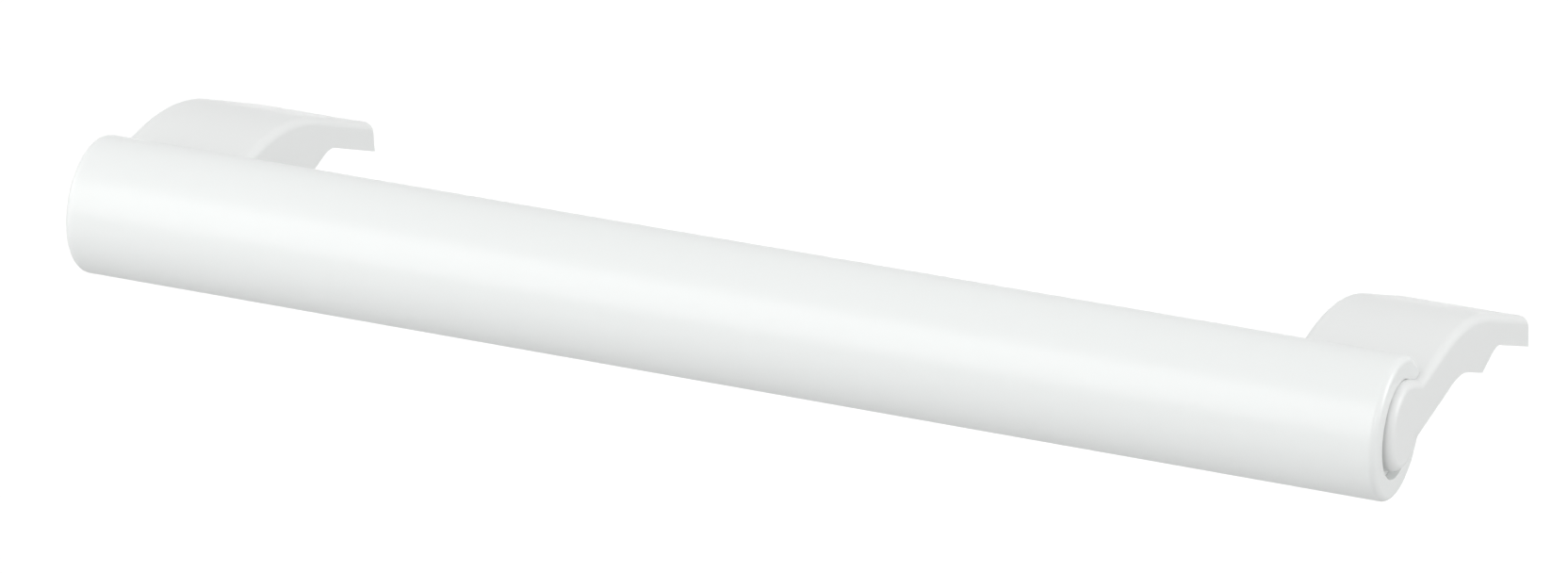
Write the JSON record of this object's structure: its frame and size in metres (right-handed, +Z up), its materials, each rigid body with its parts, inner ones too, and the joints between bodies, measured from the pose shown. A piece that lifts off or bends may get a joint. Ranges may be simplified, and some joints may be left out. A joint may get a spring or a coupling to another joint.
{
  "type": "refrigerator door handle",
  "caption": "Round white refrigerator door handle: a hollow grip bar held by mirror-image arms with stepped lips that screw onto the door's edge.",
  "frame": {"origin": "midway between the two screw holes, on the underside of the lips, which lies on the door's edge", "axes": "+X along the grip bar, +Y into the door, +Z up and square to the lips' underside"},
  "size_m": [0.3176, 0.1025, 0.0423],
  "materials": {
    "bar_plastic": "smooth satin white",
    "bracket_plastic": "smooth satin white"
  },
  "bodies": {
    "root": {"grip_bar": "bar_plastic", "bracket_right": "bracket_plastic", "bracket_left": "bracket_plastic"}
  },
  "joints": []
}
